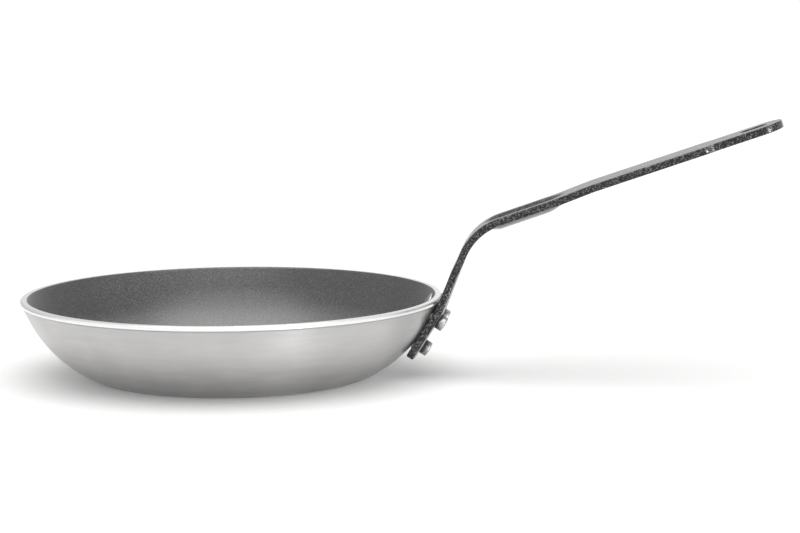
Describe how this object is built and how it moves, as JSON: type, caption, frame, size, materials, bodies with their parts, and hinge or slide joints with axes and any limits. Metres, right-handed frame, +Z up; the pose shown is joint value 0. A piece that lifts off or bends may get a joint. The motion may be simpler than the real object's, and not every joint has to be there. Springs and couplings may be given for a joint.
{
  "type": "omelette pan",
  "caption": "Round pressed aluminium omelette pan with curved wall, dark non-stick inside and a long bent strip-steel handle riveted to the wall.",
  "frame": {"origin": "centre of the base's underside, on the pan's axis", "axes": "+Z up out of the pan, +X from the pan's axis along the handle, +Y to the left of someone looking along +X"},
  "size_m": [0.5031, 0.28, 0.17],
  "materials": {
    "pan_aluminium": "satin, brushed in rings",
    "nonstick": "matte dark grey with fine pale speckle",
    "handle_coating": "dark hammered paint, fine grey speckle",
    "rivet_metal": "satin"
  },
  "bodies": {
    "root": {"pan_body": "pan_aluminium", "nonstick_coating": "nonstick", "handle": "handle_coating", "rivet_lower": "rivet_metal", "rivet_upper_left": "rivet_metal", "rivet_upper_right": "rivet_metal"}
  },
  "joints": []
}
